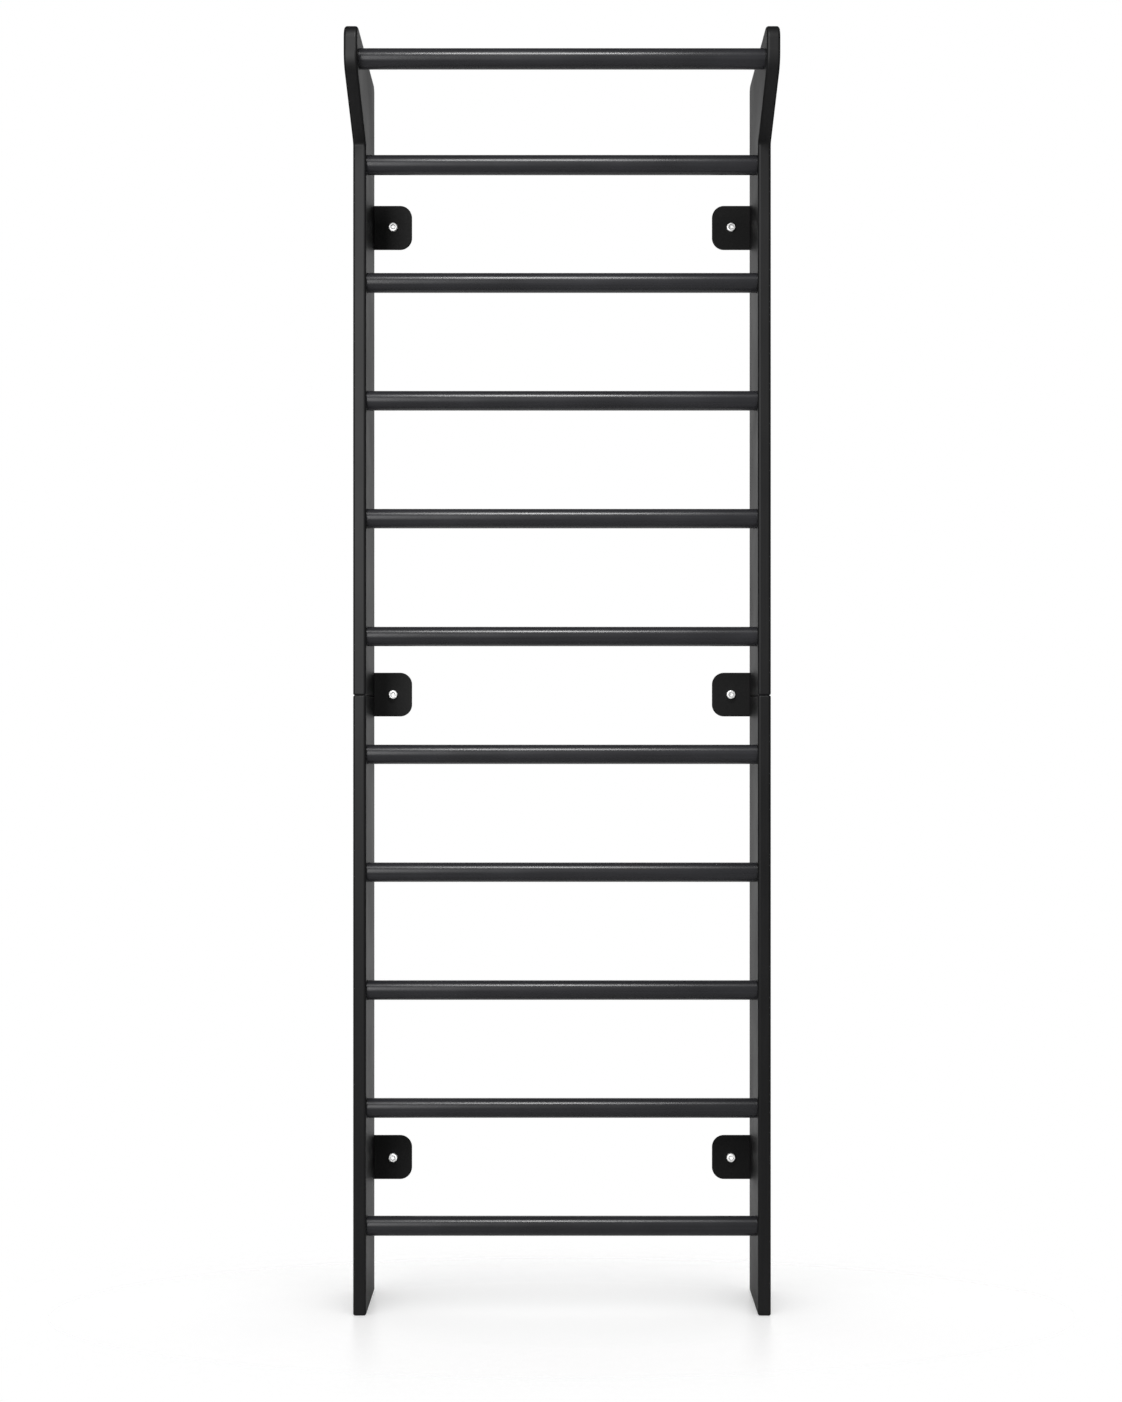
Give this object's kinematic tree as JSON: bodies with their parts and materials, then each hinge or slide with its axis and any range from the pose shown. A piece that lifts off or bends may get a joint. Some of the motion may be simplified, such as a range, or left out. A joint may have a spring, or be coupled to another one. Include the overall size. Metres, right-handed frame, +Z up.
{
  "type": "wall ladder",
  "caption": "Tall black wall bars: two side boards in halves, round rungs between them, a pull-up bar in forward noses at the top and flat steel tabs that screw to the wall.",
  "frame": {"origin": "middle of the line where the wall plane meets the floor", "axes": "+X to the right as seen from the front, +Y into the wall, +Z up"},
  "size_m": [0.704, 0.332, 2.128],
  "materials": {
    "black_lacquered_board": "satin black lacquer on solid wood board",
    "black_lacquered_rod": "satin black lacquer on turned hardwood",
    "black_coated_plate": "matt black powder coat on steel plate",
    "bright_wall_screw": "bright zinc-plated steel",
    "zinc_screw": "zinc-plated steel",
    "black_bolt": "black oxide steel",
    "plated_insert": "yellow-zinc plated steel",
    "plain_beech": "untreated beech"
  },
  "bodies": {
    "root": {"left_lower_side_board": "black_lacquered_board", "left_upper_side_board": "black_lacquered_board", "left_seam_dowels": "plain_beech", "left_rung_inserts": "plated_insert", "left_rung_bolts": "black_bolt", "left_plate_screws": "zinc_screw", "left_lower_wall_plate": "black_coated_plate", "left_middle_wall_plate": "black_coated_plate", "left_upper_wall_plate": "black_coated_plate", "right_lower_side_board": "black_lacquered_board", "right_upper_side_board": "black_lacquered_board", "right_seam_dowels": "plain_beech", "right_rung_inserts": "plated_insert", "right_rung_bolts": "black_bolt", "right_plate_screws": "zinc_screw", "right_lower_wall_plate": "black_coated_plate", "right_middle_wall_plate": "black_coated_plate", "right_upper_wall_plate": "black_coated_plate", "rung_01": "black_lacquered_rod", "rung_02": "black_lacquered_rod", "rung_03": "black_lacquered_rod", "rung_04": "black_lacquered_rod", "rung_05": "black_lacquered_rod", "rung_06": "black_lacquered_rod", "rung_07": "black_lacquered_rod", "rung_08": "black_lacquered_rod", "rung_09": "black_lacquered_rod", "rung_10": "black_lacquered_rod", "pull_up_bar": "black_lacquered_rod", "wall_screws": "bright_wall_screw"}
  },
  "joints": []
}
